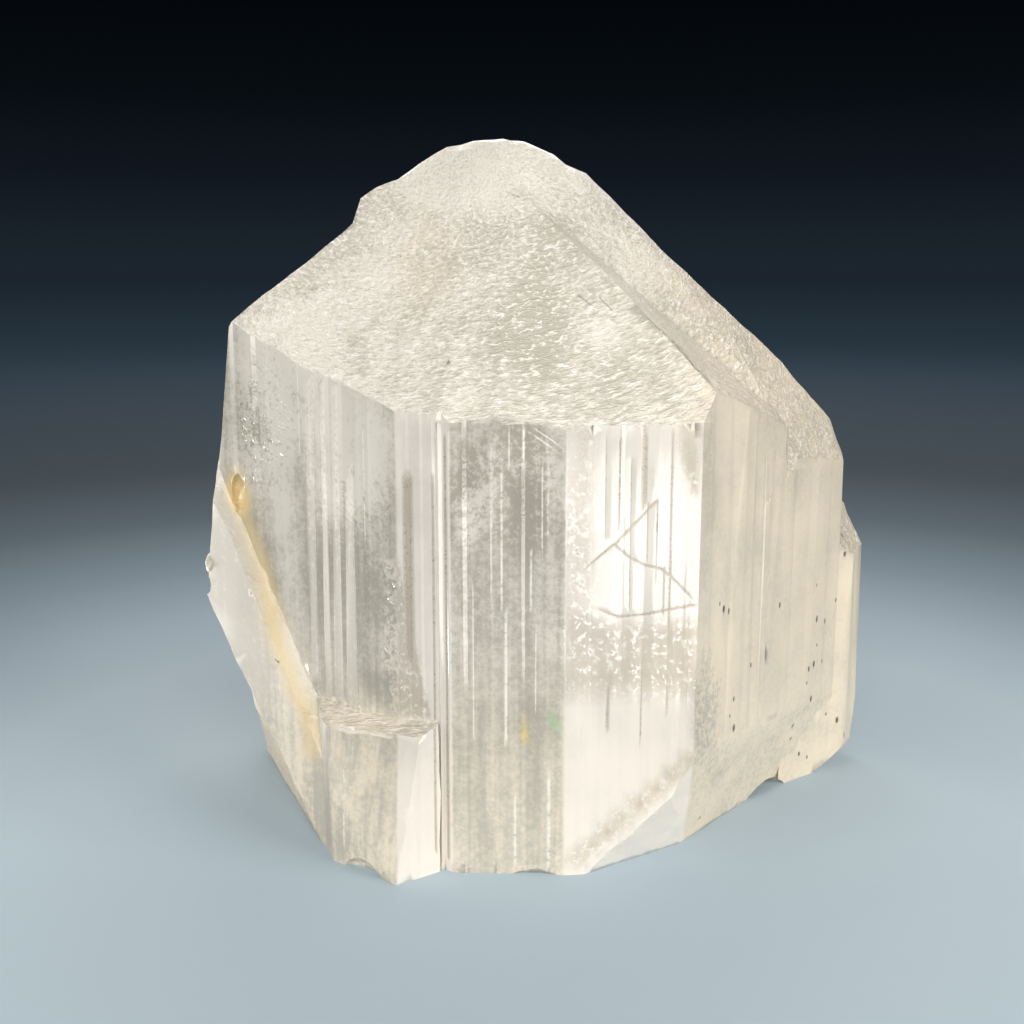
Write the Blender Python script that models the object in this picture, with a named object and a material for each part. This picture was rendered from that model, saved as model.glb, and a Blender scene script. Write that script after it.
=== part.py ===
"""A topaz crystal, one natural piece that stands on its broken basal cleavage.

The main crystal and the ones grown onto it are cut from upright blocks by their growth faces, then joined,
chipped and worn. X runs to the right, Y to the back and Z up the crystal's long axis. Lengths are in
millimetres until the last step, which scales them to metres and centres the base on the origin.
"""

import math
import random

import bmesh
import bpy
from mathutils import Euler, Matrix, Vector, noise

MM = 0.001
Z_AXIS = Vector((0.0, 0.0, 1.0))
SWEEP = Vector((1.0, 61.7, 3709.3))

# Driving dimensions, in millimetres. The front edge of the base is near Y = 0.
HEIGHT = 60.0
TIP = Vector((-1.9, 17.3, HEIGHT))
LEFT_SHOULDER = Vector((-24.4, 14.0, 44.6))
RIGHT_CREST = Vector((25.2, 24.5, 40.4))
GROOVE_START = Vector((10.6, 8.0, 45.7))
GROOVE_END = Vector((15.5, 4.6, 40.6))
GROOVE_RADIUS = 0.6
GROOVE_OVERRUN = 1.24
CUTTER_SIZE = 52.0

# Each block starts this far below the base and ends this far above the tip. The roots are staggered, so
# that no two blocks share the plane of an end.
ROOT = 2.0
ROOT_STAGGER = 0.07
HEAD = 5.0

# The width of a growth ridge's sloping step, as a share of the ridges' spacing.
STEP_WIDTH = 0.22

# The facets of the sloping and broken faces, finer at the tip, and how far they ripple and bend.
FACET_EDGE = 3.3
TIP_EDGE = 1.9
DOME_RISE = 0.3
SOFT_REACH = 9.0
SOFT_PASSES = 4
NOISE_SEED = 7
RIPPLE = 0.16
RIPPLE_LENGTH = 2.8
BEND = 0.25
BEND_LENGTH = 9.0
FLAT_BASE = 1.5

# Cross-sections, anticlockwise from above. Each corner has the depth and the spacing of the growth
# ridges on the side that starts there.
MAIN_SECTION = [
    (-28.6, 17.4, 0.10, 2.2),
    (-17.6, 8.8, 0.16, 1.6),
    (-9.3, 3.0, 0.28, 0.9),
    (-4.9, 0.9, 0.12, 1.5),
    (4.2, 0.4, 0.12, 1.7),
    (14.9, 1.6, 0.08, 2.6),
    (24.0, 13.6, 0.08, 3.0),
    (24.0, 32.0, 0.15, 2.5),
    (15.0, 39.0, 0.20, 2.0),
    (-10.0, 40.0, 0.20, 2.4),
    (-24.0, 32.0, 0.15, 2.6),
]
RIGHT_SECTION = [
    (-6.0, 17.0, 0.0, 4.0),
    (15.2, 2.2, 0.06, 2.4),
    (31.6, 23.6, 0.12, 2.6),
    (31.2, 33.0, 0.15, 2.2),
    (20.0, 41.4, 0.18, 2.0),
    (-4.0, 38.0, 0.0, 4.0),
]
SIDE_SECTION = [
    (25.6, 19.2, 0.05, 2.0),
    (33.2, 25.0, 0.10, 1.8),
    (35.2, 29.0, 0.10, 2.0),
    (34.2, 33.6, 0.10, 2.0),
    (26.5, 34.6, 0.0, 3.0),
]
BACK_SECTION = [
    (-24.6, 27.0, 0.0, 4.0),
    (-10.0, 27.0, 0.0, 4.0),
    (2.0, 36.0, 0.0, 4.0),
    (0.5, 43.0, 0.15, 1.8),
    (-14.0, 43.6, 0.15, 2.2),
    (-24.0, 37.0, 0.12, 2.0),
]
FOOT_SECTION = [
    (-20.6, 14.2, 0.05, 3.0),
    (-17.6, 10.4, 0.08, 2.0),
    (-15.2, 3.2, 0.08, 2.0),
    (-9.4, -1.3, 0.05, 1.6),
    (-6.0, 1.0, 0.0, 3.0),
    (-6.0, 9.0, 0.0, 4.0),
    (-14.0, 15.0, 0.0, 4.0),
]
FRAGMENT_SECTION = [
    (-29.2, 16.6, 0.0, 3.0),
    (-15.4, 5.6, 0.0, 3.0),
    (-13.0, 8.0, 0.0, 3.0),
    (-25.5, 17.5, 0.0, 3.0),
]

# Growth faces: a point on the face, and the azimuth and elevation of its outward normal in degrees.
MAIN_FACES = [
    (TIP, -21.7, 36.1),
    (TIP, 4.2, 36.8),
    ((-2.8, 8.7, 48.0), -8.5, 37.0),
    ((-2.0, 16.2, 60.2), -5.0, 75.0),
    ((-7.0, 16.0, 59.5), -75.0, 66.0),
    ((15.3, 4.0, 40.6), 75.0, 48.5),
    ((-13.3, 17.8, 55.0), -145.0, 35.9),
    ((-1.0, 20.4, 60.2), 165.0, 45.0),
    (LEFT_SHOULDER, -84.0, 6.8),
]
RIGHT_FACES = [
    ((10.2, 20.5, 54.8), 38.0, 30.0),
    (RIGHT_CREST, 61.0, 39.8),
    ((31.5, 26.3, 33.5), 56.0, 31.4),
    ((31.9, 25.0, 31.0), 80.0, 20.0),
    (RIGHT_CREST, 150.0, 38.7),
    ((10.2, 20.9, 54.8), 165.0, 40.9),
    ((-1.9, 17.3, 59.1), -21.7, 36.1),
    ((-1.9, 17.3, 59.15), 4.2, 36.8),
    ((-2.0, 16.2, 60.0), -5.0, 75.0),
    ((-1.0, 20.4, 60.0), 165.0, 45.0),
    ((-12.9, 17.3, 53.8), -145.0, 35.9),
]
SIDE_FACES = [
    ((33.5, 26.0, 21.6), 60.0, 38.0),
    ((31.0, 34.0, 26.0), 150.0, 40.0),
    ((34.0, 28.0, 0.9), 60.0, -45.0),
]
BACK_FACES = [
    ((-12.0, 42.0, 34.0), 178.0, 34.0),
    ((-23.0, 34.0, 30.0), -105.0, 38.0),
    ((0.0, 38.0, 30.0), 95.0, 40.0),
    ((-11.0, 36.0, 36.0), 178.0, 68.0),
]
FOOT_FACES = [
    ((-11.0, 1.0, 11.5), -35.0, 66.0),
    ((-9.4, -1.3, 0.0), -30.0, 10.0),
]
FRAGMENT_FACES = [
    ((-24.8, 14.4, 28.3), 2.0, 22.5),
    ((-24.6, 14.0, 44.6), -85.0, 7.2),
]

# Hollows, which take off what lies outside all their faces. The step ends a growth layer at the left of
# the tip, and the others are breaks above the base.
LEFT_STEP = [
    ((-14.0, 16.4, 52.7), -135.0, 34.4),
    ((-14.0, 16.4, 52.7), -100.0, 10.0),
]
LEFT_BREAK = [
    ((-27.2, 17.0, 17.8), -76.0, -24.0),
    ((-22.8, 17.0, 8.0), -68.0, -13.0),
]
FRONT_BREAK = [((14.9, 1.6, 8.0), 34.0, -28.0)]
RIGHT_BREAK = [((19.3, 12.4, 0.0), 51.0, -18.0)]
BACK_BREAK = [((18.0, 38.5, 18.0), 160.0, -14.0)]

# Shell-shaped chips: centre, radii, and turns about X, Y and Z in degrees.
CHIPS = [
    ((-28.3, 16.6, 20.8), (1.3, 2.6, 1.2), (0, 0, 0)),
    ((16.6, 22.0, 50.2), (2.0, 3.0, 1.4), (0, 40, 0)),
    ((26.4, 24.2, 41.2), (2.2, 3.0, 1.3), (0, 40, 0)),
    ((31.0, 25.2, 36.3), (1.8, 3.0, 1.3), (0, 50, 0)),
    ((10.5, 0.6, -0.6), (4.0, 2.0, 1.8), (0, 0, 10)),
    ((1.5, 0.0, -0.8), (3.0, 1.2, 1.5), (0, 0, 0)),
    ((-12.5, 0.8, -0.5), (2.4, 1.2, 1.6), (0, 0, -40)),
    ((24.0, 18.0, -0.8), (3.4, 2.2, 2.0), (0, 0, 50)),
]
PIT = ((-24.2, 14.1, 29.6), (0.8, 1.0, 1.7), (0, 0, 0))
KNOB = ((-27.2, 16.7, 22.7), (0.9, 2.0, 1.2), (0, 0, 0))


def face_normal(azimuth, elevation):
    """An outward normal. Azimuth 0 is -Y and grows towards +X, and elevation 0 is level."""
    turn = math.radians(azimuth)
    rise = math.radians(elevation)
    flat = math.cos(rise)
    return Vector((math.sin(turn) * flat, -math.cos(turn) * flat, math.sin(rise)))


def ridged_outline(corners, seed):
    """The cross-section, with each side broken into narrow growth ridges that step back and out."""
    draw = random.Random(seed)
    outline = []
    for index, (x, y, depth, spacing) in enumerate(corners):
        start = Vector((x, y))
        end = Vector(corners[(index + 1) % len(corners)][:2])
        outline.append(start)
        if depth == 0.0:
            continue
        along = (end - start).normalized()
        inward = Vector((-along.y, along.x))
        length = (end - start).length
        reach = spacing * draw.uniform(0.5, 1.2)
        while reach < length - spacing * 0.6:
            step = depth * draw.uniform(0.35, 1.0)
            outline.append(start + along * reach)
            outline.append(start + along * (reach + STEP_WIDTH * spacing) + inward * step)
            reach += spacing * draw.uniform(0.6, 1.6)
    return outline


def prism(outline, root, top):
    """An upright block of the given cross-section. Its root goes below Z = 0, where the base is cut."""
    bm = bmesh.new()
    ring = [bm.verts.new((point.x, point.y, -root)) for point in outline]
    base = bm.faces.new(ring)
    grown = bmesh.ops.extrude_face_region(bm, geom=[base])["geom"]
    upper = [item for item in grown if isinstance(item, bmesh.types.BMVert)]
    bmesh.ops.translate(bm, verts=upper, vec=(0.0, 0.0, top + root))
    bmesh.ops.recalc_face_normals(bm, faces=bm.faces)
    return bm


def ordered(bm):
    """Puts the elements in order of place, so that every run gives the same mesh."""
    for vert in bm.verts:
        vert.co = [round(value, 4) for value in vert.co]
    bm.verts.sort(key=lambda vert: vert.co.dot(SWEEP))
    bm.edges.sort(key=lambda edge: (edge.verts[0].co + edge.verts[1].co).dot(SWEEP))
    bm.faces.sort(key=lambda face: face.calc_center_median().dot(SWEEP))
    return bm


def cut(bm, point, normal):
    """Takes off all that lies outside one plane face, and closes the cut."""
    geometry = bm.verts[:] + bm.edges[:] + bm.faces[:]
    result = bmesh.ops.bisect_plane(
        bm, geom=geometry, dist=1e-5, plane_co=point, plane_no=normal, clear_outer=True
    )
    edges = [item for item in result["geom_cut"] if isinstance(item, bmesh.types.BMEdge)]
    if edges:
        bmesh.ops.holes_fill(bm, edges=edges, sides=0)
    ordered(bm)


def is_long(edge):
    """True on an edge that is still too long for the facets wanted at its place."""
    middle = (edge.verts[0].co + edge.verts[1].co) / 2.0
    limit = TIP_EDGE if (middle - TIP).length < SOFT_REACH else FACET_EDGE
    return edge.calc_length() > limit


def roughen(bm, wanted):
    """Divides the faces that are wanted into small facets, and ripples them."""
    bmesh.ops.triangulate(bm, faces=bm.faces)
    while True:
        edges = [edge for edge in bm.edges if is_long(edge) and any(map(wanted, edge.link_faces))]
        if not edges:
            break
        bmesh.ops.subdivide_edges(bm, edges=edges, cuts=1)
        bmesh.ops.triangulate(bm, faces=[face for face in bm.faces if len(face.verts) > 3])
    for vert in {vert for face in bm.faces if wanted(face) for vert in face.verts}:
        vert.co += noise.noise_vector(vert.co / RIPPLE_LENGTH) * RIPPLE
    bm.normal_update()
    return ordered(bm)


def is_dome(face):
    """True on the sloping faces that end the crystals."""
    return face.normal.z > DOME_RISE


def is_any(face):
    """True on every face, for a piece that broke all round."""
    return face.is_valid


def crystal(section, faces, seed, wanted=is_dome):
    """A crystal: its ridged section extruded upwards, then cut by its growth faces."""
    bm = prism(ridged_outline(section, seed), ROOT + ROOT_STAGGER * seed, HEIGHT + HEAD)
    for point, azimuth, elevation in faces:
        cut(bm, point, face_normal(azimuth, elevation))
    return roughen(bm, wanted)


def hollow(faces):
    """The space near the first face's point that lies outside every one of the faces."""
    bm = bmesh.new()
    bmesh.ops.create_cube(bm, size=CUTTER_SIZE, matrix=Matrix.Translation(faces[0][0]))
    normals = [face_normal(azimuth, elevation) for _, azimuth, elevation in faces]
    for (point, _, _), normal in zip(faces, normals):
        cut(bm, point, -normal)
    return roughen(bm, lambda face: any(face.normal.dot(normal) < -0.99 for normal in normals))


def rounded(centre, radii, turns):
    """An ellipsoid, for a chip, a pit or a knob."""
    bm = bmesh.new()
    bmesh.ops.create_icosphere(bm, subdivisions=2, radius=1.0)
    turn = Euler([math.radians(angle) for angle in turns]).to_matrix().to_4x4()
    bm.transform(Matrix.Translation(centre) @ turn @ Matrix.Diagonal((*radii, 1.0)))
    return ordered(bm)


def groove():
    """A slot along the edge between the front dome and the crystal at the right."""
    run = GROOVE_END - GROOVE_START
    bm = bmesh.new()
    bmesh.ops.create_icosphere(bm, subdivisions=2, radius=1.0)
    turn = run.to_track_quat("Z", "Y").to_matrix().to_4x4()
    size = Matrix.Diagonal((GROOVE_RADIUS, GROOVE_RADIUS, run.length * GROOVE_OVERRUN / 2.0, 1.0))
    bm.transform(Matrix.Translation((GROOVE_START + GROOVE_END) / 2.0) @ turn @ size)
    return ordered(bm)


def to_object(bm, name, collection):
    mesh = bpy.data.meshes.new(name)
    bm.to_mesh(mesh)
    bm.free()
    obj = bpy.data.objects.new(name, mesh)
    collection.objects.link(obj)
    return obj


def combine(body, tools, operation):
    """Joins or cuts the body by each tool in turn, with exact Booleans."""
    for tool in tools:
        tool.hide_render = True
        tool.display_type = "WIRE"
        modifier = body.modifiers.new(tool.name, "BOOLEAN")
        modifier.operation = operation
        modifier.object = tool
        modifier.solver = "EXACT"
        depsgraph = bpy.context.evaluated_depsgraph_get()
        mesh = bpy.data.meshes.new_from_object(body.evaluated_get(depsgraph))
        body.modifiers.clear()
        bm = bmesh.new()
        bm.from_mesh(mesh)
        ordered(bm).to_mesh(mesh)
        bm.free()
        body.data = mesh


def soften(bm):
    """Rounds the tip, which has no sharp edge between its growth faces."""
    soft = [
        vert
        for vert in bm.verts
        if (vert.co - TIP).length < SOFT_REACH and all(is_dome(face) for face in vert.link_faces)
    ]
    for _ in range(SOFT_PASSES):
        bmesh.ops.smooth_vert(
            bm, verts=soft, factor=0.5, use_axis_x=True, use_axis_y=True, use_axis_z=True
        )


def bend(bm):
    """Bends every face a little, but leaves the base flat."""
    for vert in bm.verts:
        fade = min(1.0, vert.co.z / FLAT_BASE)
        vert.co += noise.noise_vector(vert.co / BEND_LENGTH) * (BEND * fade)


def topaz_material():
    material = bpy.data.materials.new("topaz")
    material.use_nodes = True
    shader = material.node_tree.nodes["Principled BSDF"]
    shader.inputs["Base Color"].default_value = (0.86, 0.80, 0.70, 1.0)
    shader.inputs["Roughness"].default_value = 0.18
    shader.inputs["Metallic"].default_value = 0.0
    shader.inputs["IOR"].default_value = 1.62
    shader.inputs["Transmission Weight"].default_value = 0.8
    return material


def main():
    noise.seed_set(NOISE_SEED)
    for obj in list(bpy.data.objects):
        bpy.data.objects.remove(obj)
    parts = bpy.data.collections.new("topaz crystal")
    cutters = bpy.data.collections.new("cutters")
    for collection in (parts, cutters):
        bpy.context.scene.collection.children.link(collection)

    body = to_object(crystal(MAIN_SECTION, MAIN_FACES, 5), "topaz_crystal", parts)
    combine(body, [to_object(hollow(LEFT_STEP), "left step", cutters)], "DIFFERENCE")
    right = to_object(crystal(RIGHT_SECTION, RIGHT_FACES, 9), "right crystal", cutters)
    combine(body, [right], "UNION")
    breaks = [hollow(FRONT_BREAK), hollow(RIGHT_BREAK)]
    combine(body, [to_object(bm, "break", cutters) for bm in breaks], "DIFFERENCE")

    grown = {
        "side crystal": crystal(SIDE_SECTION, SIDE_FACES, 11),
        "back crystal": crystal(BACK_SECTION, BACK_FACES, 14),
        "foot": crystal(FOOT_SECTION, FOOT_FACES, 17, is_any),
        "fragment": crystal(FRAGMENT_SECTION, FRAGMENT_FACES, 19, is_any),
        "knob": rounded(*KNOB),
    }
    combine(body, [to_object(bm, name, cutters) for name, bm in grown.items()], "UNION")
    hollows = [hollow(LEFT_BREAK), hollow(BACK_BREAK), groove(), rounded(*PIT)]
    hollows += [rounded(*chip) for chip in CHIPS]
    combine(body, [to_object(bm, "hollow", cutters) for bm in hollows], "DIFFERENCE")

    bm = bmesh.new()
    bm.from_mesh(body.data)
    cut(bm, (0.0, 0.0, 0.0), -Z_AXIS)
    bmesh.ops.triangulate(bm, faces=bm.faces)
    soften(bm)
    bend(bm)
    low = [min(vert.co[axis] for vert in bm.verts) for axis in range(2)]
    high = [max(vert.co[axis] for vert in bm.verts) for axis in range(2)]
    centre = Vector(((low[0] + high[0]) / 2.0, (low[1] + high[1]) / 2.0, 0.0))
    bm.transform(Matrix.Scale(MM, 4) @ Matrix.Translation(-centre))
    bm.to_mesh(body.data)
    bm.free()
    body.data.materials.clear()
    body.data.materials.append(topaz_material())


main()
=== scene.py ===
"""A topaz crystal: pale, cloudy and etched at the tip, on a plain studio floor.

The crystal is dressed in one piece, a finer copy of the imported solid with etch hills, ripples and
growth striae worked into it. Lengths are in metres, and places on the crystal in millimetres.
"""

import math

import bmesh
import bpy
import numpy as np
from bpy.props import FloatProperty, FloatVectorProperty, PointerProperty
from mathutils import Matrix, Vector, noise
from mathutils.kdtree import KDTree


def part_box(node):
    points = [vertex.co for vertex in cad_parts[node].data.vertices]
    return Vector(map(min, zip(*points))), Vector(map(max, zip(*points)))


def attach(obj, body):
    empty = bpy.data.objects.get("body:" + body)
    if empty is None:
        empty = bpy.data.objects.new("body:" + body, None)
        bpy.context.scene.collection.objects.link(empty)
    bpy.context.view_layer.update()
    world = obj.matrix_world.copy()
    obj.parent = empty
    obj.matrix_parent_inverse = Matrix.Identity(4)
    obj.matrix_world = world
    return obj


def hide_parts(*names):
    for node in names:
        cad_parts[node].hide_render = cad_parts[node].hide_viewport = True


bl_info = {
    "name": "Topaz crystal",
    "version": (1, 0, 0),
    "blender": (4, 5, 0),
    "location": "View3D > Sidebar > Crystal",
    "description": "Dresses the topaz crystal and sets its stage",
    "category": "Object",
}

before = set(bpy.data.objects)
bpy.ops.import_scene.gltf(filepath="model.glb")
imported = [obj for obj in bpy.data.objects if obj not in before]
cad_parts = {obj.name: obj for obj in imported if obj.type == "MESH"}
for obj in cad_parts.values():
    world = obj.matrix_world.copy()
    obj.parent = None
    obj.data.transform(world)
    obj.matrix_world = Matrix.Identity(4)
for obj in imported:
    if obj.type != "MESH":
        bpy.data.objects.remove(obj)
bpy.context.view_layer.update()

NODE = "topaz_crystal"
CRYSTAL_GROUP = "crystal"
MM = 0.001
LOW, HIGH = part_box(NODE)

# Places on the crystal are measured from a mark at the front edge of the base, in front of the
# camera. This is how far the box reaches from it, to the left and to the front, in millimetres.
LEFT_REACH = 27.89
FRONT_REACH = 1.3
MARK = Vector((LOW.x + LEFT_REACH * MM, LOW.y + FRONT_REACH * MM, 0.0))

# The camera: its place from the mark, its pitch below level, and its lens.
CAMERA_PLACE = Vector((0.0, -0.099, 0.0496))
CAMERA_PITCH = math.radians(10.9)
LENS = 45.7
SENSOR = 36.0
CLIP_START, CLIP_END = 0.005, 20.0

NOISE_SEED = 11
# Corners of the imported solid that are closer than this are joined.
WELD = 1.5e-5
CUT_REACH = 1e-7
# A face is upright where its normal rises and falls by no more than this.
UPRIGHT = 0.16
# The base is where the normal falls by more than this.
BASE_FALL = 0.97
# A face is a sliver where its area is under this share of the square of its longest edge.
SLIVER = 0.03
# Edges sharper than these are crisp: on the prism, on the dome, where the normals rise, and on the
# worn right side.
CREASE = math.radians(16.0)
DOME_CREASE = math.radians(45.0)
WORN_CREASE = math.radians(50.0)
DOME_RISE = 0.3
REFINING_PASSES = 6
# Near the thin marks the mesh is finer: how far around them, and its longest edge.
LINE_REACH, LINE_EDGE = 1.2 * MM, 0.35 * MM
SPECK_REACH, SPECK_EDGE = 0.3 * MM, 0.12 * MM
# The relief, in millimetres: how wide the hills of the dome and of the broken faces are, large and
# small, and how wide the striae are and how little they change along the prism.
DOME_HILLS = (2.1, 0.9)
BROKEN_HILLS = (1.6, 0.8)
STRIA_WIDTH, STRIA_CHANGE = 0.9, 0.03

# How far the normal turns up on the dome, down on the broken faces and the base, and to the front.
# Each border is soft, from the first number to the second.
DOME_TURN = (0.25, 0.45)
BROKEN_TURN = (0.05, 0.15)
BASE_TURN = (0.93, 0.98)
FRONT_TURN = (0.2, 0.5)

# The upright parts of the front from left to right, by x in millimetres from the mark: the plates,
# the left glossy band, the middle face, the right glossy band, and the soft borders at which the
# worn, waxy side begins and the striae end.
PLATES = (-18.0, -9.3)
BAND_LEFT = (-9.3, -4.9)
MIDDLE = (-4.85, 4.1)
BAND_RIGHT = (4.2, 14.9)
WORN = (14.5, 16.5)
STRIAE_END = (13.5, 16.5)

# The noises of the material: scale, detail, roughness and stretch. The mottling of the dome turns
# around a centre above the tip, with its own frequencies around, along and down.
STREAKS = (1.1, 2.0, 0.7, (1.0, 1.0, 0.03))
MOTTLING = (1.8, 2.0, 0.8)
ARC_CENTRE = (-4.0, 20.0, 64.0)
ARC_FREQUENCIES = (17.0, 0.9, 1.7)
# How high the bump is, in millimetres.
DOME_BUMP = 0.26
CRUMPLED_BUMP = 0.10

# The clear crystal.
TOPAZ_IOR = 1.62
GLASS_TINT = (1.0, 0.98, 0.94, 1.0)
DEPTH_TINT = (0.93, 0.86, 0.72, 1.0)
DEPTH_DENSITY = 22.0
# The painted glints of the arcs and needles, the painted reflection on the glossy bands, their
# frosted grains with painted shade where the reflection breaks, and the small painted rainbow
# glints.
PAINTED_GLINT = (0.90, 0.88, 0.83, 1.0)
PAINTED_REFLECTION = (0.90, 0.84, 0.78, 1.0)
GRIT_AND_PAINTED_SHADE = (0.42, 0.36, 0.29, 1.0)
RAINBOW_YELLOW = (0.95, 0.72, 0.22, 1.0)
RAINBOW_GREEN = (0.42, 0.72, 0.38, 1.0)

# The stage. The floor's colours, a painted pool of light that fades to dark far off, are placed by
# distance / (distance + FLOOR_HALF).
STAGE_CENTRE = (0.0, 0.02, 0.03)
FLOOR_SIZE = 6.0
FLOOR_HALF = 0.2
FLOOR_PAINTED_FALLOFF = (
    (0.15, (0.95, 0.95, 0.95, 1.0)),
    (0.22, (1.00, 1.00, 1.00, 1.0)),
    (0.27, (0.86, 0.87, 0.89, 1.0)),
    (0.34, (0.54, 0.56, 0.58, 1.0)),
    (0.42, (0.27, 0.29, 0.31, 1.0)),
    (0.51, (0.15, 0.16, 0.17, 1.0)),
    (0.67, (0.075, 0.075, 0.085, 1.0)),
    (0.80, (0.010, 0.025, 0.045, 1.0)),
)
# The floor's painted glow: black near the crystal, then slate and darker slate far off, standing in
# for the dark room.
BLACK = (0.0, 0.0, 0.0, 1.0)
PAINTED_SLATE_GLOW = (0.020, 0.033, 0.045, 1.0)
PAINTED_FAR_GLOW = (0.011, 0.018, 0.026, 1.0)
SLATE_BORDER = (0.45, 0.72)
FAR_BORDER = (0.76, 0.98)
# The room's colours, by how far up a direction points.
ROOM_FADE = (
    (0.0, (0.012, 0.019, 0.027, 1.0)),
    (0.06, (0.006, 0.009, 0.014, 1.0)),
    (0.12, (0.0025, 0.004, 0.006, 1.0)),
    (0.2, (0.001, 0.002, 0.003, 1.0)),
)
WARM_LIGHT = (1.0, 0.97, 0.92)
PINK_LIGHT = (1.0, 0.95, 0.92)


# Building the graphs of the materials.


class Value:
    """A socket of a shader graph. An expression on values adds the Math nodes that work it out."""

    def __init__(self, graph, socket):
        self.graph = graph
        self.socket = socket

    def maths(self, operation, first, second):
        return self.graph.node("ShaderNodeMath", {"operation": operation}, {0: first, 1: second})

    def __add__(self, other):
        return self.maths("ADD", self, other)

    def __radd__(self, other):
        return self.maths("ADD", other, self)

    def __sub__(self, other):
        return self.maths("SUBTRACT", self, other)

    def __rsub__(self, other):
        return self.maths("SUBTRACT", other, self)

    def __mul__(self, other):
        return self.maths("MULTIPLY", self, other)

    def __rmul__(self, other):
        return self.maths("MULTIPLY", other, self)

    def __truediv__(self, other):
        return self.maths("DIVIDE", self, other)

    def __neg__(self):
        return self.maths("MULTIPLY", self, -1.0)

    def most(self, other):
        return self.maths("MAXIMUM", self, other)

    def angle(self, other):
        """The angle whose sine and cosine are as these two numbers."""
        return self.maths("ARCTAN2", self, other)

    def rise(self, low, high):
        """0 below low, 1 above high, and smooth between."""
        return self.graph.node(
            "ShaderNodeMapRange",
            {"interpolation_type": "SMOOTHSTEP"},
            {"Value": self, "From Min": low, "From Max": high},
        )

    def between(self, low, high, soft):
        """1 from low to high, with soft borders."""
        return self.rise(low - soft, low + soft) * (1.0 - self.rise(high - soft, high + soft))


class Graph:
    """The node tree of a material or a world, emptied to be built anew."""

    def __init__(self, owner):
        owner.use_nodes = True
        self.tree = owner.node_tree
        self.tree.nodes.clear()

    def node(self, kind, settings=None, values=None, output=0):
        """Adds a node. Its settings come first, then the values or links of its sockets."""
        made = self.tree.nodes.new(kind)
        for name, setting in (settings or {}).items():
            if name == "stops":
                self.set_stops(made.color_ramp, setting)
            else:
                setattr(made, name, setting)
        for key, value in (values or {}).items():
            if isinstance(value, Value):
                self.tree.links.new(value.socket, made.inputs[key])
            else:
                made.inputs[key].default_value = value
        return None if output is None else Value(self, made.outputs[output])

    @staticmethod
    def set_stops(ramp, stops):
        while len(ramp.elements) < len(stops):
            ramp.elements.new(0.5)
        for element, (place, colour) in zip(ramp.elements, stops):
            element.position = place
            element.color = colour

    def colours(self, first, second, share):
        """A colour between two others."""
        return self.node(
            "ShaderNodeMix", {"data_type": "RGBA"}, {0: share, 6: first, 7: second}, output=2
        )

    def vectors(self, operation, first, second=(0.0, 0.0, 0.0), output=0):
        values = {0: first, 1: second}
        return self.node("ShaderNodeVectorMath", {"operation": operation}, values, output)

    def mixed_vectors(self, first, second, share):
        return self.node(
            "ShaderNodeMix", {"data_type": "VECTOR"}, {0: share, 4: first, 5: second}, output=1
        )

    def attribute(self, name):
        """A number that the mesh holds at each of its points."""
        return self.node("ShaderNodeAttribute", {"attribute_name": name}, None, output="Fac")

    def parts(self, vector):
        """The three numbers of a vector."""
        first = self.node("ShaderNodeSeparateXYZ", None, {0: vector})
        return [Value(self, output) for output in first.socket.node.outputs]

    def cloud(self, place, scale, detail, roughness, stretch=(1.0, 1.0, 1.0)):
        """Soft noise around 0.5, stretched along the axes where stretch is under 1."""
        spread = self.vectors("MULTIPLY", place, stretch)
        return self.node(
            "ShaderNodeTexNoise",
            None,
            {"Vector": spread, "Scale": scale, "Detail": detail, "Roughness": roughness},
        )

    def surface(self, values):
        return self.node("ShaderNodeBsdfPrincipled", None, values)


# The sizes and colours that a user would change.


class CrystalSettings(bpy.types.PropertyGroup):
    facet: FloatProperty(
        name="Facet",
        description="Longest edge of the fine mesh on the etched and broken faces",
        default=0.0008,
        min=0.0003,
        unit="LENGTH",
        subtype="DISTANCE",
    )
    row: FloatProperty(
        name="Row",
        description="Height of the rows that the upright faces are cut into",
        default=0.0012,
        min=0.0005,
        unit="LENGTH",
        subtype="DISTANCE",
    )
    hill: FloatProperty(
        name="Hill",
        description="Height of the low hills on the etched and broken faces",
        default=0.00008,
        unit="LENGTH",
        subtype="DISTANCE",
    )
    ridge: FloatProperty(
        name="Ridge",
        description="Depth of the growth striae on the prism faces",
        default=0.00003,
        unit="LENGTH",
        subtype="DISTANCE",
    )
    groove: FloatProperty(
        name="Groove",
        description="Depth of the cracks and scored lines",
        default=0.00002,
        unit="LENGTH",
        subtype="DISTANCE",
    )
    cloudy: FloatVectorProperty(
        name="Cloudy",
        description="Colour of the cloudy crystal at the tip and on the left",
        default=(0.76, 0.745, 0.695),
        min=0.0,
        max=1.0,
        subtype="COLOR",
    )
    warm: FloatVectorProperty(
        name="Warm",
        description="Colour of the cloudy crystal on the right and at the foot",
        default=(0.82, 0.715, 0.56),
        min=0.0,
        max=1.0,
        subtype="COLOR",
    )
    grey: FloatVectorProperty(
        name="Grey",
        description="Colour of the clearer, greyer crystal",
        default=(0.50, 0.47, 0.40),
        min=0.0,
        max=1.0,
        subtype="COLOR",
    )
    stain: FloatVectorProperty(
        name="Stain",
        description="Colour of the stained vein",
        default=(0.72, 0.56, 0.30),
        min=0.0,
        max=1.0,
        subtype="COLOR",
    )
    dirt: FloatVectorProperty(
        name="Dirt",
        description="Colour of the dirt in the cracks and pits",
        default=(0.10, 0.08, 0.06),
        min=0.0,
        max=1.0,
        subtype="COLOR",
    )


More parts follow.
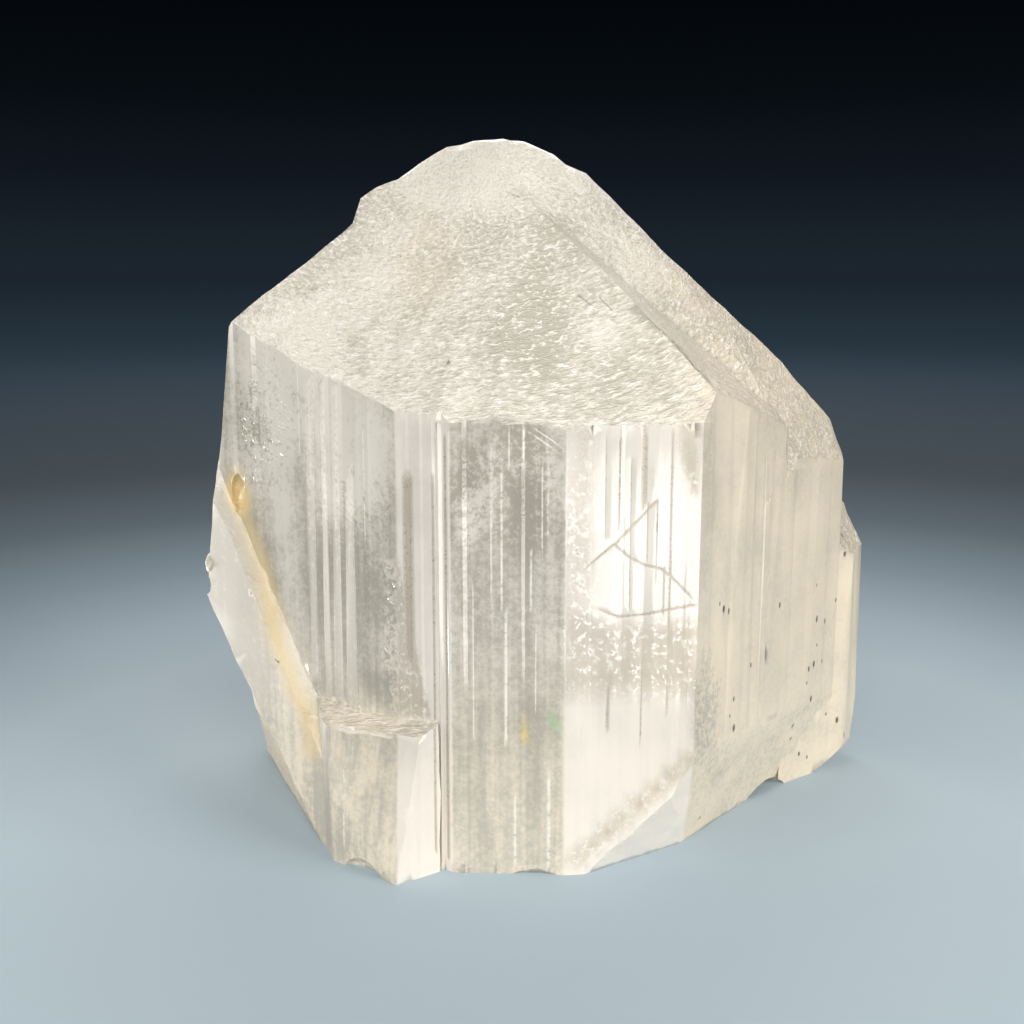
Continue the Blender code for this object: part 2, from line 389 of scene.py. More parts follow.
class StageSettings(bpy.types.PropertyGroup):
    floor: FloatVectorProperty(
        name="Floor",
        description="Colour of the studio floor",
        default=(0.50, 0.61, 0.70),
        min=0.0,
        max=1.0,
        subtype="COLOR",
    )
    top_light: FloatProperty(
        name="Top light",
        description="Power of the top light",
        default=0.47,
        min=0.0,
        subtype="POWER",
    )
    front_light: FloatProperty(
        name="Front light",
        description="Power of the light behind the camera",
        default=2.12,
        min=0.0,
        subtype="POWER",
    )
    side_light: FloatProperty(
        name="Side light",
        description="Power of the lights on both sides",
        default=0.76,
        min=0.0,
        subtype="POWER",
    )
    back_light: FloatProperty(
        name="Back light",
        description="Power of the light behind the crystal, which shines through it",
        default=1.3,
        min=0.0,
        subtype="POWER",
    )
    card_light: FloatProperty(
        name="Card light",
        description="Power of the low cards that the prism faces mirror",
        default=0.55,
        min=0.0,
        subtype="POWER",
    )


# The crystal.


def merged_copy(name):
    """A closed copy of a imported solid, whose own mesh is loose triangles."""
    bm = bmesh.new()
    bm.from_mesh(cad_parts[name].data)
    bmesh.ops.remove_doubles(bm, verts=bm.verts, dist=WELD)
    return bm


def triangulate(bm):
    bmesh.ops.triangulate(bm, faces=[face for face in bm.faces if len(face.verts) > 3])


def halve(bm, edges):
    bmesh.ops.subdivide_edges(bm, edges=edges, cuts=1)
    triangulate(bm)


def is_upright(face):
    return abs(face.normal.z) <= UPRIGHT


def is_base(face):
    return face.normal.z < -BASE_FALL


def refine(bm, longest):
    """Halves the long edges of the etched and broken faces."""
    for _ in range(REFINING_PASSES):
        edges = [
            edge
            for edge in bm.edges
            if edge.calc_length() > longest
            and any(not is_upright(face) and not is_base(face) for face in edge.link_faces)
        ]
        if not edges:
            return
        halve(bm, edges)


def refine_near(bm, places, reach, longest):
    """Halves the long edges near some places of the plan, for the finest marks."""
    tree = KDTree(len(places))
    for index, place in enumerate(places):
        tree.insert(from_plan(place), index)
    tree.balance()
    for _ in range(REFINING_PASSES):
        edges = [
            edge
            for edge in bm.edges
            if edge.calc_length() > longest
            and tree.find((edge.verts[0].co + edge.verts[1].co) / 2.0)[2]
            < reach + edge.calc_length() / 2.0
        ]
        if not edges:
            return
        halve(bm, edges)


def cut(bm, faces, place, across):
    """Cuts some faces along a plane, and gives back the faces that they became."""
    geometry = set(faces)
    for face in faces:
        geometry.update(face.edges, face.verts)
    made = bmesh.ops.bisect_plane(
        bm, geom=list(geometry), dist=CUT_REACH, plane_co=place, plane_no=across
    )
    return [item for item in made["geom"] if isinstance(item, bmesh.types.BMFace)]


def cut_rows(bm, height):
    """Cuts the upright faces, which stay flat and crisp, into rows."""
    level = height
    while level < HIGH.z:
        faces = [
            face
            for face in bm.faces
            if is_upright(face)
            and min(vert.co.z for vert in face.verts) < level
            and max(vert.co.z for vert in face.verts) > level
        ]
        cut(bm, faces, (0.0, 0.0, level), (0.0, 0.0, 1.0))
        level += height
    triangulate(bm)


def score(bm, line, width):
    """Cuts the front faces along a line of (x, z) places, at its middle and at both borders."""
    for start, end in zip(line, line[1:]):
        start, end = Vector((start[0], 0.0, start[1])), Vector((end[0], 0.0, end[1]))
        along = (end - start).normalized()
        across = Vector((-along.z, 0.0, along.x))
        low = from_plan([min(start[i], end[i]) - width for i in range(3)])
        high = from_plan([max(start[i], end[i]) + width for i in range(3)])
        faces = [
            face
            for face in bm.faces
            if face.normal.y < -FRONT_TURN[0]
            and is_upright(face)
            and any(vert.co.x < high.x for vert in face.verts)
            and any(vert.co.x > low.x for vert in face.verts)
            and any(vert.co.z < high.z for vert in face.verts)
            and any(vert.co.z > low.z for vert in face.verts)
        ]
        for offset in (-width, 0.0, width):
            faces = cut(bm, faces, from_plan(start + across * offset), across)


def step(value, low, high):
    """0 below low, 1 above high, and smooth between. The value may be an array."""
    share = np.clip((value - low) / (high - low), 0.0, 1.0)
    return share * share * (3.0 - 2.0 * share)


def band(value, low, high, soft):
    """1 from low to high, with soft borders."""
    return step(value, low - soft, low + soft) * (1.0 - step(value, high - soft, high + soft))


def on_dome(normals):
    return step(normals[:, 2], *DOME_TURN)


def on_front(normals):
    return step(-normals[:, 1], *FRONT_TURN) * (1.0 - on_dome(normals))


def to_plan(points):
    """From metres in the part's frame to millimetres from the mark, for an array of points."""
    return (points - np.array(MARK)) / MM


def from_plan(place):
    return MARK + Vector(place) * MM


def is_sliver(face):
    longest = max(edge.calc_length() for edge in face.edges)
    return face.calc_area() < SLIVER * longest**2


def crease_edges(bm):
    """Shades the faces smooth, with crisp edges where they are sharper than the crease.

    The edges of slivers are smooth too, because a sliver's own normal points anywhere.
    """
    for face in bm.faces:
        face.smooth = True
    worn_side = MARK.x + sum(WORN) / 2.0 * MM
    for edge in bm.edges:
        angle = edge.calc_face_angle(0.0)
        limit = WORN_CREASE if edge.verts[0].co.x > worn_side else CREASE
        if min(face.normal.z for face in edge.link_faces) > DOME_RISE:
            limit = DOME_CREASE
        wide = [face for face in edge.link_faces if not is_sliver(face)]
        thin = len(wide) < len(edge.link_faces) and not any(is_upright(face) for face in wide)
        edge.smooth = thin or angle < limit


def patch(places, centre, radii):
    """1 at the centre of a soft round patch and 0 outside its radii."""
    spread = (((places - np.array(centre)) / np.array(radii)) ** 2).sum(axis=1)
    return 1.0 - step(spread, 0.2, 1.4)


def near_line(places, line, width):
    """1 on a line and 0 at a distance of its width. A line of (x, z) places runs over the front."""
    flat = len(line[0]) == 2
    points = places[:, (0, 2)] if flat else places
    least = np.full(len(places), np.inf)
    for start, end in zip(line, line[1:]):
        start, end = np.array(start), np.array(end)
        along = end - start
        share = np.clip((points - start) @ along / (along @ along), 0.0, 1.0)
        away = points - start - share[:, None] * along
        least = np.minimum(least, np.sqrt((away**2).sum(axis=1)))
    return np.clip(1.0 - least / width, 0.0, 1.0)


def samples(line, spacing):
    """Places along a line, at an even spacing."""
    places = []
    for start, end in zip(line, line[1:]):
        start, end = Vector(start), Vector(end)
        count = max(1, round((end - start).length / spacing))
        places += [start.lerp(end, i / count) for i in range(count + 1)]
    return places


def upright_lines(table):
    """Lines over the front, each from x, its lowest and its highest z, and its width."""
    return tuple((((x, low), (x, high)), width) for x, low, high, width in table)


# What is on the crystal, in millimetres from the mark. A line of two numbers for each place runs
# over the front, as x and z. The lines here come with their widths.
CRACKS = (
    (((5.59, 25.7), (7.78, 27.65), (8.17, 27.89), (10.04, 29.86), (11.35, 31.28)), 0.16),
    (
        (
            (8.18, 27.65),
            (9.23, 26.73),
            (10.51, 26.06),
            (11.71, 25.8),
            (12.68, 25.05),
            (14.37, 23.24),
        ),
        0.17,
    ),
    (((7.46, 22.3), (8.51, 21.86), (10.59, 22.05), (12.75, 22.43), (14.54, 22.66)), 0.2),
)
DULL_LINES = upright_lines((
    (-8.3, 17.5, 33.0, 0.55),
    (-6.25, 2.0, 33.0, 0.14),
    (-5.25, 1.0, 36.5, 0.16),
    (10.32, 30.8, 38.2, 0.30),
    (12.5, 14.0, 37.6, 0.17),
    (8.39, 29.0, 37.6, 0.10),
    (11.4, 25.0, 31.3, 0.09),
    (10.65, 26.3, 31.0, 0.08),
    (12.05, 21.8, 25.8, 0.16),
    (9.3, 22.4, 34.5, 0.06),
    (7.3, 28.5, 36.5, 0.06),
    (10.4, 12.0, 19.0, 0.10),
    (7.7, 12.6, 16.5, 0.20),
))
WHITE_LINES = upright_lines((
    (-0.23, 34.0, 36.8, 0.10),
    (0.89, 34.3, 37.0, 0.12),
    (-0.82, 22.8, 33.5, 0.14),
    (-0.48, 11.0, 22.4, 0.20),
    (1.5, 22.5, 27.2, 0.14),
    (2.36, 27.5, 34.0, 0.10),
    (0.25, 0.6, 6.5, 0.16),
    (3.0, 0.5, 9.0, 0.22),
    (-4.93, 1.0, 37.0, 0.12),
    (-17.8, 34.0, 43.0, 0.07),
    (-12.0, 27.0, 36.0, 0.08),
    (-3.1, 12.0, 24.0, 0.07),
    (1.9, 14.0, 21.0, 0.07),
    (-14.0, 1.5, 9.0, 0.10),
))
WHITE_STROKES = (
    (((1.31, 36.7), (2.55, 35.87), (3.78, 35.01)), 0.14),
    (((1.75, 36.95), (2.9, 36.2), (4.05, 35.4)), 0.10),
)
VEIN = (
    (-24.17, 14.89, 30.02),
    (-23.09, 13.22, 26.37),
    (-21.97, 12.37, 23.86),
    (-20.99, 11.01, 19.69),
    (-20.43, 9.78, 16.7),
    (-19.05, 8.61, 13.18),
    (-17.64, 7.44, 10.88),
    (-17.32, 7.13, 8.37),
)
VEIN_WIDTH = 1.6
VEIN_PIT = ((-23.92, 14.87, 29.66), (1.6, 2.8, 2.3))
TIP_GROOVE = ((10.04, 7.48, 45.92), (11.06, 6.96, 45.06), (13.19, 6.83, 42.98), (15.41, 4.9, 40.4))
TIP_LINE = ((5.21, 10.72, 50.63), (7.61, 8.99, 48.21), (10.03, 7.37, 45.76))
SCRATCHES = (
    ((5.36, 7.9, 46.94), (6.31, 7.45, 46.24), (6.9, 7.6, 46.5)),
    ((7.14, 7.8, 46.71), (8.08, 7.2, 45.77)),
    ((-0.3, 14.1, 55.3), (0.6, 13.76, 54.96)),
)
SCRATCH_WIDTH = 0.12
# The specks have one of four radii. They are taller than wide.
SPECK_RADII = tuple(0.11 + 0.035 * index for index in range(4))
SPECK_HEIGHT = 1.6
SPECKS = (
    (17.12, 4.62, 21.94),
    (17.55, 5.16, 21.36),
    (18.11, 5.97, 20.97),
    (20.79, 9.5, 15.15),
    (28.7, 19.8, 19.73),
    (28.94, 20.2, 16.31),
    (30.1, 21.76, 15.67),
    (31.52, 23.56, 17.28),
    (29.12, 20.48, 13.66),
    (28.83, 20.13, 11.88),
    (28.16, 19.22, 11.67),
    (29.93, 21.53, 11.74),
    (27.99, 19.04, 10.35),
    (28.66, 19.96, 8.44),
    (26.72, 18.53, 6.24),
    (26.75, 19.28, 4.66),
    (31.05, 23.45, 5.68),
    (32.4, 24.33, 4.73),
    (33.45, 25.36, 2.77),
    (27.99, 21.03, 2.45),
    (28.96, 21.75, 1.86),
    (32.55, 26.49, 23.12),
    (32.37, 24.31, 21.7),
    (18.95, 6.95, 12.94),
    (18.57, 6.47, 11.59),
    (19.06, 7.11, 10.28),
    (23.95, 13.5, 19.47),
    (16.49, 7.91, 1.68),
)
# Soft patches: centre, radii, and how much brighter or greyer the crystal is there.
CLOUD_PATCHES = (
    ((1.5, 6.0, 44.2), (3.8, 6.0, 4.8), -0.34),
    ((7.4, 5.7, 43.7), (1.6, 3.0, 1.4), 0.20),
    ((-13.0, 9.0, 45.0), (9.0, 8.0, 6.0), 0.16),
    ((-13.5, 6.0, 34.5), (5.5, 7.0, 5.5), 0.45),
    ((-19.5, 10.0, 41.5), (6.0, 7.0, 6.0), 0.40),
    ((-14.5, 6.0, 23.0), (5.5, 6.0, 6.0), -0.12),
    ((-21.8, 12.3, 38.0), (0.9, 4.0, 4.0), -0.15),
    ((-19.8, 10.5, 35.0), (1.6, 5.0, 9.0), 0.25),
    ((-3.4, 1.0, 29.5), (1.0, 3.0, 2.0), 0.45),
    ((-3.4, 1.0, 33.5), (1.4, 3.0, 1.6), -0.25),
    ((1.2, 1.0, 30.0), (1.7, 3.0, 4.0), -0.38),
    ((15.6, 3.0, 14.0), (2.0, 5.0, 4.5), -0.35),
    ((-12.0, 3.5, 15.5), (3.0, 3.0, 1.2), -0.25),
    ((-25.0, 14.0, 17.0), (5.5, 9.0, 13.0), -0.80),
    ((-19.0, 9.0, 50.0), (6.0, 9.0, 5.0), -0.10),
    ((4.5, 12.0, 52.0), (3.0, 4.0, 5.0), -0.15),
    ((-1.0, 15.0, 57.5), (11.0, 12.0, 4.5), 0.28),
)
# Where the prism looks crumpled from inside: centre, radii and strength.
CRUMPLED = (
    ((-20.8, 11.0, 38.0), (3.6, 6.0, 5.0), 1.0),
    ((-21.5, 11.0, 33.5), (3.0, 6.0, 4.5), 0.7),
    ((0.6, 1.0, 32.5), (3.2, 3.0, 5.5), 0.6),
    ((-12.5, 5.5, 31.0), (4.0, 5.0, 3.0), 0.45),
    ((-3.6, 1.0, 31.5), (1.3, 3.0, 4.0), 0.8),
    ((16.0, 3.5, 14.0), (1.8, 4.0, 5.0), 0.9),
)
# Painted rainbow glints, the interference colours of small cracks inside: centre and radii. They
# are yellow left of the border.
RAINBOWS = (
    ((0.95, 1.0, 12.4), (0.35, 2.0, 0.95)),
    ((3.35, 1.0, 13.4), (0.60, 2.0, 1.0)),
)
RAINBOW_BORDER = (1.3, 2.9)
# The narrow faces between the plates, which turn away to the left: how far they turn, and where.
RISER_TURN = (0.4, 0.6)
RISERS = (-17.2, -13.0)
# The fragment at the lower left: a place on its border, how far the border leans, and its top.
FRAGMENT_X, FRAGMENT_Z, FRAGMENT_LEAN = -24.8, 28.3, 0.509
FRAGMENT_TOP = (28.0, 31.0)
# How rough the kinds of face are.
DOME_ROUGH, BROKEN_ROUGH, FRAGMENT_ROUGH = 0.55, 0.9, 1.4
WORN_ROUGH, BACK_ROUGH, RISER_ROUGH = 0.7, 0.5, 1.2
# The frosted line along the foot of the right glossy band.
FOOT_FROST = ((4.77, 0.88), (9.68, 5.27), (14.55, 9.59))


def risers(places, normals):
    """1 on the narrow faces between the plates."""
    return step(-normals[:, 0], *RISER_TURN) * band(places[:, 0], *RISERS, 0.3)


def cloudiness(places, normals):
    """How bright the cloudy crystal is at each place: 0 grey, 1 milky."""
    clouds = np.array([noise.fractal(Vector(place) / 7.0, 1.0, 2.0, 3) for place in places])
    wisps = np.array([noise.fractal(Vector(place) / 2.2, 1.0, 2.0, 2) for place in places])
    value = 0.66 + 0.24 * clouds + 0.14 * wisps
    for centre, radii, weight in CLOUD_PATCHES:
        value += weight * patch(places, centre, radii)
    value -= 0.10 * on_dome(normals)
    x = places[:, 0]
    value -= on_front(normals) * (0.22 * band(x, *PLATES, 0.3) + 0.30 * band(x, *MIDDLE, 0.2))
    value -= 0.30 * risers(places, normals)
    # The groove beside the tip is greyer here as painted shade in the groove; the tip line is a
    # faint darker line.
    value -= 0.5 * near_line(places, TIP_GROOVE, 1.1) + 0.15 * near_line(places, TIP_LINE, 0.5)
    return np.clip(value, 0.0, 1.0)


def warmth(places):
    """How warm the crystal's colour is: it is warmest on the right and at the foot."""
    x, z = places[:, 0], places[:, 2]
    value = 0.25 + 0.65 * step(x, 8.0, 19.0) + 0.6 * (1.0 - step(z, 6.0, 24.0))
    value += 0.45 * patch(places, (-7.0, 10.0, 50.0), (3.0, 6.0, 5.0))
    value += 0.6 * (1.0 - step(x, -23.5, -20.0)) * (1.0 - step(z, *FRAGMENT_TOP))
    return np.clip(value, 0.0, 1.0)


def on_lines(places, lines):
    value = np.zeros(len(places))
    for line, width in lines:
        value = np.maximum(value, near_line(places, line, width))
    return value


def glint_whiteness(places, front):
    """Painted glints: the white needles and strokes of the prism."""
    return on_lines(places, WHITE_LINES + WHITE_STROKES) * front


def dullness(places, front):
    """The cracks and the lines that break the gloss of the prism. In the glossy bands they are
    painted darker, partly as their own colour and partly as painted shade where the reflection
    breaks.
    """
    return np.clip(1.5 * on_lines(places, CRACKS + DULL_LINES), 0.0, 1.0) * front


def frosting(places, front):
    """Where the glossy bands break up into grains, and where the prism is crumpled."""
    x, z = places[:, 0], places[:, 2]
    # The right band: its left border, a belt below its middle, its upper right corner and its foot.
    value = 0.6 * band(x, BAND_RIGHT[0], 6.4, 0.5) * step(z, 18.0, 22.0)
    value += band(x, *BAND_RIGHT, 0.8) * band(z, 15.5, 21.5, 1.0)
    corner = step(x - 12.85 - 0.3 * (36.0 - z), -0.1, 0.2)
    value += corner * step(z, 30.0, 32.0) * (x < 14.7)
    value += near_line(places, FOOT_FROST, 1.0)
    # The left band: a belt left of a border that leans.
    border = step(x + 9.2 - 0.19 * (26.0 - z), -0.1, 0.2)
    value += band(x, -10.4, BAND_LEFT[1], 0.1) * (1.0 - border) * band(z, 13.0, 26.0, 0.5)
    for centre, radii, weight in CRUMPLED:
        value += weight * patch(places, centre, radii)
    return np.clip(value, 0.0, 1.0) * front


def staining(places):
    """The cream and yellow vein, deepest in its pit."""
    value = 0.8 * near_line(places, VEIN, VEIN_WIDTH) + 0.9 * patch(places, *VEIN_PIT)
    return np.clip(value, 0.0, 1.0)


def rainbows(places):
    """The painted rainbow glints, the interference colours of small cracks, low in the middle face.
    """
    value = np.zeros(len(places))
    for centre, radii in RAINBOWS:
        value = np.maximum(value, patch(places, centre, radii))
    return value


def dirtiness(places):
    """Dirt in small pits, in the scratches and in the groove beside the tip."""
    value = 0.22 * near_line(places, TIP_GROOVE, 0.7)
    for index, place in enumerate(SPECKS):
        radius = SPECK_RADII[index * 7 % 4]
        radii = (radius, radius, SPECK_HEIGHT * radius)
        value = np.maximum(value, 1.3 * patch(places, place, radii))
    for line in SCRATCHES:
        value = np.maximum(value, 0.6 * near_line(places, line, SCRATCH_WIDTH))
    return np.clip(value, 0.0, 1.0)


def roughness(places, normals):
    """0 on the glassy prism, and higher on every other kind of face."""
    x, z = places[:, 0], places[:, 2]
    border = x - FRAGMENT_X - FRAGMENT_LEAN * (FRAGMENT_Z - z)
    fragment = (1.0 - step(border, -0.6, 0.2)) * (1.0 - step(z, *FRAGMENT_TOP))
    return np.maximum.reduce([
        DOME_ROUGH * on_dome(normals),
        BROKEN_ROUGH * band(-normals[:, 2], 0.1, 0.95, 0.05),
        FRAGMENT_ROUGH * fragment,
        WORN_ROUGH * step(x, *WORN),
        BACK_ROUGH * step(normals[:, 1], 0.1, 0.4),
        RISER_ROUGH * risers(places, normals),
    ])


def hills(place, widths):
    large, small = widths
    return noise.noise(place / large) + 0.5 * noise.noise(place / small)


def relief(places, normals, marks, settings):
    """How far each point moves along its normal, in metres."""
    rise = normals[:, 2]
    slope = step(rise, DOME_TURN[0], 0.5)
    broken = step(-rise, *BROKEN_TURN)
    waves = np.zeros(len(places))
    for index, place in enumerate(places):
        place = Vector(place)
        if rise[index] > DOME_TURN[0]:
            waves[index] = hills(place, DOME_HILLS)
        elif rise[index] < -BROKEN_TURN[0]:
            waves[index] = hills(place, BROKEN_HILLS)
        else:
            place.z *= STRIA_CHANGE
            waves[index] = noise.noise(place / STRIA_WIDTH)
    height = settings.hill * waves * (0.8 * slope + 1.2 * broken)
    worn = step(places[:, 0], *WORN) * step(-normals[:, 1], -0.3, 0.2)
    height += settings.ridge * waves * (1.0 - np.maximum.reduce([slope, broken, worn]))
    height -= settings.groove * (marks["dull"] + 1.5 * marks["dirt"])
    height[rise < -BASE_FALL] = 0.0
    # The lowest millimetre fades out, so that the foot stays on the floor.
    return height * np.clip(places[:, 2], 0.0, 1.0)


def opaque(colour):
    return (*colour, 1.0)


def topaz_material(settings):
    """Cloudy, milky crystal mixed with clear crystal, by what the mesh holds at each point."""
    material = bpy.data.materials.new("topaz")
    graph = Graph(material)
    place = graph.node("ShaderNodeTexCoord", None, None, output="Object")
    shift = [-value / MM for value in MARK]
    plan = graph.node(
        "ShaderNodeMapping", None, {"Vector": place, "Location": shift, "Scale": [1.0 / MM] * 3}
    )
    x, y, z = graph.parts(plan)
    normal = graph.node("ShaderNodeNewGeometry", None, None, output="Normal")
    _, back, up = graph.parts(normal)

    dome = up.rise(*DOME_TURN)
    upright = 1.0 - dome
    front = (-back).rise(*FRONT_TURN)
    prism = front * upright
    broken = (-up).rise(*BROKEN_TURN)
    walls = upright * (1.0 - broken)
    glossy = prism * (x.between(*BAND_LEFT, 0.15) + x.between(*BAND_RIGHT, 0.15))
    left = 1.0 - x.rise(*STRIAE_END)

    cloudy = graph.attribute("cloudy")
    warm = graph.attribute("warm")
    white = graph.attribute("white")
    dull = graph.attribute("dull")
    frosted = graph.attribute("frosted")
    stain = graph.attribute("stain")
    rainbow = graph.attribute("rainbow")
    dirt = graph.attribute("dirt")
    rough = graph.attribute("rough")

    # Streaks run along the prism. The mottling turns to short arcs around the tip on the dome.
    streaks = graph.cloud(plan, *STREAKS)
    away_x, _, away_z = graph.parts(graph.vectors("SUBTRACT", plan, ARC_CENTRE))
    turn = away_x.angle(-away_z)
    fall = graph.vectors("DISTANCE", plan, ARC_CENTRE, output="Value")
    around, along, down = ARC_FREQUENCIES
    arcs = graph.node(
        "ShaderNodeCombineXYZ", None, {0: turn * around, 1: y * along, 2: fall * down}
    )
    mottling = graph.cloud(graph.mixed_vectors(plan, arcs, dome), *MOTTLING)
    patchy = mottling.rise(0.30, 0.52)

    # Frost is where the gloss is broken, and the painted reflection where it is whole.
    frost = (frosted * mottling.rise(0.36, 0.50)).most(dull * (0.35 + 0.65 * patchy))
    painted_shine = glossy * (1.0 - frost)
    crumpled = frosted * (1.0 - glossy)
    # Painted glints: bright dashes in the dome's mottling.
    glint_dashes = dome * mottling.rise(0.56, 0.64)

    # The level says how milky the crystal is: 0 grey, 0.9 and more fully milky.
    grain = (mottling - 0.5) * (1.0 - glossy * 0.4)
    calm = 0.45 + 0.55 * z.rise(13.0, 24.0)
    contrast = 0.5 + dome * 1.3 + broken * 0.8 + rough * 0.1
    contrast = contrast + prism * (left * 0.9 * calm + crumpled * 2.4)
    lines = (streaks - 0.5) * walls * (0.4 * (1.0 - front) + 1.1 * left)
    level = cloudy + grain * contrast + lines

    milky = graph.colours(opaque(settings.cloudy), opaque(settings.warm), warm)
    tone = graph.colours(opaque(settings.grey), milky, level.rise(0.0, 0.9))
    # Painted glints on the dome's dashes and on the white needles.
    tone = graph.colours(tone, PAINTED_GLINT, glint_dashes.most(white * patchy * 0.8))
    # Painted reflection: the glossy bands are painted brighter, on top of the cards' real
    # reflection in them.
    tone = graph.colours(tone, PAINTED_REFLECTION, painted_shine * 0.7)
    # In the glossy bands, frost, cracks and dull lines are darkened to grit: partly the grit's own
    # colour, partly painted shade where the reflection breaks.
    tone = graph.colours(tone, GRIT_AND_PAINTED_SHADE, (frost * 0.55).most(dull * 0.85) * glossy)
    # Painted rainbow glints, yellow to green across the middle face.
    hue = graph.colours(RAINBOW_YELLOW, RAINBOW_GREEN, x.rise(*RAINBOW_BORDER))
    tone = graph.colours(tone, hue, rainbow * mottling.rise(0.35, 0.5) * 0.7)
    tone = graph.colours(tone, opaque(settings.stain), stain)
    tone = graph.colours(tone, opaque(settings.dirt), dirt)

    height = (dome * DOME_BUMP + prism * crumpled * CRUMPLED_BUMP) * mottling
    bump = graph.node("ShaderNodeBump", None, {"Strength": 1.0, "Distance": MM, "Height": height})
    gloss = 0.06 + rough * 0.40 + mottling * 0.05
    gloss = gloss + frost * glossy.most(dull) * 0.35 - glint_dashes * 0.08
    finish = {"Roughness": gloss, "IOR": TOPAZ_IOR, "Normal": bump}
    milk = graph.surface({"Base Color": tone, **finish})
    glass = graph.surface({"Base Color": GLASS_TINT, "Transmission Weight": 1.0, **finish})

    # The base is fully clear, so that the floor under it shows and not a dark mirror.
    glassy = walls * (0.04 + (1.0 - cloudy) * 0.30) * z.rise(2.0, 16.0) * (1.0 - white)
    clear = 0.03 + glassy * (1.0 - 0.8 * rough)
    clear = (clear * (1.0 - stain)).most((-up).rise(*BASE_TURN))
    body = graph.node("ShaderNodeMixShader", None, {0: 1.0 - clear, 1: glass, 2: milk})
    depth = graph.node(
        "ShaderNodeVolumeAbsorption", None, {"Color": DEPTH_TINT, "Density": DEPTH_DENSITY}
    )
    output = {"Surface": body, "Volume": depth}
    graph.node("ShaderNodeOutputMaterial", None, output, output=None)
    return material


class CRYSTAL_OT_topaz(bpy.types.Operator):
    """Dresses the crystal in a fine mesh with its relief and its finish."""

    bl_idname = "crystal.topaz"
    bl_label = "Topaz crystal"

    def execute(self, context):
        settings = context.scene.crystal
        noise.seed_set(NOISE_SEED)
        bm = merged_copy(NODE)
        bm.normal_update()
        cut_rows(bm, settings.row)
        for line, width in CRACKS + WHITE_STROKES + DULL_LINES + WHITE_LINES:
            score(bm, line, width)
        triangulate(bm)
        refine(bm, settings.facet)
        fine = [place for line in (VEIN, TIP_GROOVE, TIP_LINE) for place in samples(line, 0.4)]
        refine_near(bm, fine, LINE_REACH, LINE_EDGE)
        finest = [place for line in SCRATCHES for place in samples(line, 0.1)]
        refine_near(bm, list(SPECKS) + finest, SPECK_REACH, SPECK_EDGE)
        bm.normal_update()
        crease_edges(bm)
        mesh = bpy.data.meshes.new("topaz")
        bm.to_mesh(mesh)
        bm.free()

        points = np.empty((len(mesh.vertices), 3))
        mesh.vertices.foreach_get("co", points.ravel())
        normals = np.empty((len(mesh.vertices), 3))
        mesh.vertex_normals.foreach_get("vector", normals.ravel())
        places = to_plan(points)
        front = on_front(normals)
        marks = {
            "cloudy": cloudiness(places, normals),
            "warm": warmth(places),
            "white": glint_whiteness(places, front),
            "dull": dullness(places, front),
            "frosted": frosting(places, front),
            "stain": staining(places),
            "rainbow": rainbows(places),
            "dirt": dirtiness(places),
            "rough": roughness(places, normals),
        }
        points += normals * relief(places, normals, marks, settings)[:, None]
        mesh.vertices.foreach_set("co", points.ravel())
        for name, values in marks.items():
            mesh.attributes.new(name, "FLOAT", "POINT").data.foreach_set("value", values)
        mesh.update()
        mesh.materials.append(topaz_material(settings))
        crystal = bpy.data.objects.new("topaz", mesh)
        group = bpy.data.collections.new(CRYSTAL_GROUP)
        context.scene.collection.children.link(group)
        group.objects.link(crystal)
        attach(crystal, "root")
        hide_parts(NODE)
        return {"FINISHED"}


# The stage.


def area_light(name, place, turn, size, power, colour):
    data = bpy.data.lights.new(name, "AREA")
    data.shape = "RECTANGLE"
    data.size, data.size_y = size
    data.energy = power
    data.color = colour
    light = bpy.data.objects.new(name, data)
    light.location = MARK + Vector(place)
    light.rotation_euler = turn
    light.visible_camera = False
    bpy.context.scene.collection.objects.link(light)
    return light


def soft_light(name, place, size, power, colour):
    """A light that faces the crystal."""
    turn = (Vector(STAGE_CENTRE) - Vector(place)).to_track_quat("-Z", "Y").to_euler()
    return area_light(name, place, turn, size, power, colour)


def low_card(name, place, roll, size, power, colour):
    """A card that lies on the floor, face up, and shows only in the gloss of the crystal."""
    card = area_light(name, place, (math.pi, 0.0, roll), size, power, colour)
    card.visible_diffuse = False
    card.visible_transmission = False
    return card


def floor_material(colour):
    """A painted pool of light: pale near the crystal and fading far off, where a painted slate glow
    meets the dark of the room.
    """
    material = bpy.data.materials.new("studio floor")
    graph = Graph(material)
    place = graph.node("ShaderNodeTexCoord", None, None, output="Object")
    distance = graph.vectors("LENGTH", place, output="Value")
    share = distance / (distance + FLOOR_HALF)
    fade = graph.node("ShaderNodeValToRGB", {"stops": FLOOR_PAINTED_FALLOFF}, {0: share})
    tone = graph.vectors("MULTIPLY", fade, colour)
    # Painted glow: the floor glows slate far off, though it is no lamp.
    painted_glow = graph.colours(BLACK, PAINTED_SLATE_GLOW, share.rise(*SLATE_BORDER))
    painted_glow = graph.colours(painted_glow, PAINTED_FAR_GLOW, share.rise(*FAR_BORDER))
    surface = graph.surface({
        "Base Color": tone,
        "Roughness": 0.8,
        "Specular IOR Level": 0.05,
        "Emission Color": painted_glow,
        "Emission Strength": 1.0,
    })
    graph.node("ShaderNodeOutputMaterial", None, {"Surface": surface}, output=None)
    return material


def room_dark():
    """The world: slate at the horizon, and nearly black overhead."""
    world = bpy.data.worlds.new("studio")
    graph = Graph(world)
    direction = graph.node("ShaderNodeTexCoord", None, None, output="Generated")
    _, _, up = graph.parts(direction)
    fade = graph.node("ShaderNodeValToRGB", {"stops": ROOM_FADE}, {0: up})
    background = graph.node("ShaderNodeBackground", None, {"Color": fade, "Strength": 1.0})
    graph.node("ShaderNodeOutputWorld", None, {"Surface": background}, output=None)
    return world


